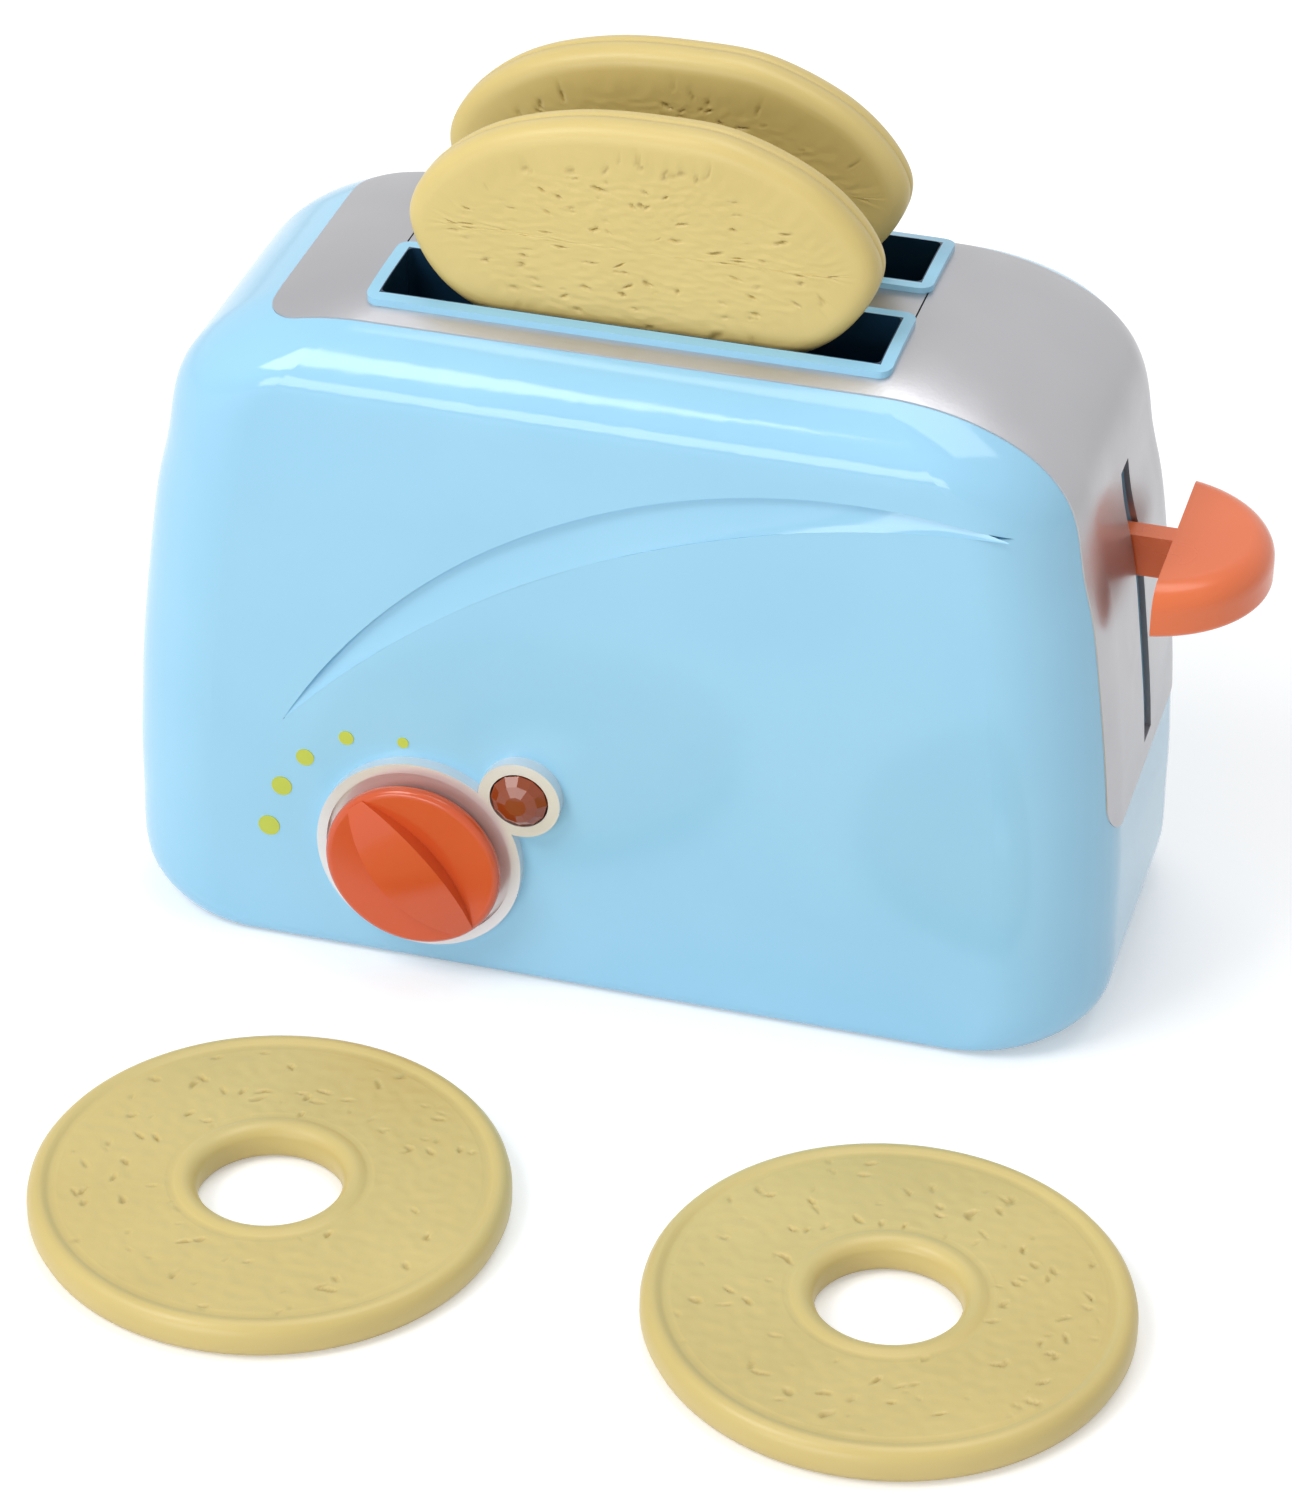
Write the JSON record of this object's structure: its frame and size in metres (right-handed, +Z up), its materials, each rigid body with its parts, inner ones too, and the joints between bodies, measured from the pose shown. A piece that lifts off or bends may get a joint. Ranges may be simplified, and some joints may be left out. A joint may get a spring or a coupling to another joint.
{
  "type": "toy toaster",
  "caption": "Toy two-slot toaster with a sprung push-down lever, a turning dial with an amber jewel, two play slices that pop up and two loose play bagels.",
  "frame": {"origin": "middle of the toaster's base, on the surface it stands on", "axes": "+X towards the lever end, -Y towards the front face with the dial, +Z up"},
  "size_m": [0.2123, 0.206, 0.1683],
  "materials": {
    "blue_shell": "glossy moulded light blue",
    "silver_trim": "satin silver coating on plastic",
    "well_blue": "moulded light blue",
    "base_blue": "fine-textured light blue",
    "bezel_chrome": "bright plated plastic",
    "lens_amber": "clear amber-brown jewel",
    "orange_knob": "glossy moulded orange",
    "orange_lever": "satin moulded orange",
    "steel": "ground bar",
    "screw_steel": "zinc plated",
    "spring_steel": "spring wire",
    "white_nylon": "natural white",
    "bread_plastic": "satin moulded, pitted faces",
    "bagel_plastic": "satin moulded, pitted faces"
  },
  "bodies": {
    "casing": {"front_shell": "blue_shell", "rear_shell": "blue_shell", "front_trim_plate": "silver_trim", "rear_trim_plate": "silver_trim", "slot_bridge": "silver_trim", "bread_well_front": "well_blue", "bread_well_rear": "well_blue", "base_plate": "base_blue", "dial_bezel": "bezel_chrome", "indicator_lens": "lens_amber", "dial_bracket": "white_nylon", "bracket_screws": "screw_steel", "detent_spring": "spring_steel", "guide_rod": "steel", "return_spring": "spring_steel", "latch_pin": "steel", "latch_spring": "spring_steel", "shell_screws": "screw_steel", "base_screws": "screw_steel"},
    "dial": {"timer_knob": "orange_knob", "knob_shaft": "steel", "shaft_pinion": "white_nylon", "shaft_clip": "steel"},
    "rack": {"trip_rack": "white_nylon"},
    "lift": {"lift_carriage": "white_nylon", "bread_tray_front": "well_blue", "bread_tray_rear": "well_blue", "lever_knob": "orange_lever"},
    "hook": {"latch_hook": "white_nylon"},
    "slice_front": {"bread_front": "bread_plastic"},
    "slice_rear": {"bread_rear": "bread_plastic"},
    "bagel_a": {"bagel_left": "bagel_plastic"},
    "bagel_b": {"bagel_right": "bagel_plastic"}
  },
  "joints": [
    {"name": "lift_slide", "type": "slide", "parent": "casing", "child": "lift", "axis": [0, 0, 1], "range_m": [-0.034, 0], "stiffness_N_per_m": 30, "springref_m": 0.05, "deforming": ["return_spring"]},
    {"name": "dial_turn", "type": "hinge", "parent": "casing", "child": "dial", "pos_m": [-0.0332, 0, 0.0258], "axis": [0, -1, 0], "range_deg": [-36, 51]},
    {"name": "rack_slide", "type": "slide", "parent": "casing", "child": "rack", "axis": [1, 0, 0], "range_m": [-0.00367, 0.00524]},
    {"name": "hook_swing", "type": "hinge", "parent": "casing", "child": "hook", "pos_m": [0.042, 0, 0.013], "axis": [0, 1, 0], "range_deg": [0, 5], "stiffness_Nm_per_rad": 0.02, "springref_deg": -17.19},
    {"name": "slice_front_lift_out", "type": "slide", "parent": "lift", "child": "slice_front", "axis": [0, 0, 1], "range_m": [0, 0.08]},
    {"name": "slice_rear_lift_out", "type": "slide", "parent": "lift", "child": "slice_rear", "axis": [0, 0, 1], "range_m": [0, 0.08]},
    {"name": "bagel_left_lift", "type": "slide", "parent": "casing", "child": "bagel_a", "axis": [0, 0, 1], "range_m": [0, 0.1]},
    {"name": "bagel_right_lift", "type": "slide", "parent": "casing", "child": "bagel_b", "axis": [0, 0, 1], "range_m": [0, 0.1]}
  ],
  "couplings": [
    {"joint": "dial_turn", "follows": "rack_slide", "rad_per_m": 166.67}
  ]
}
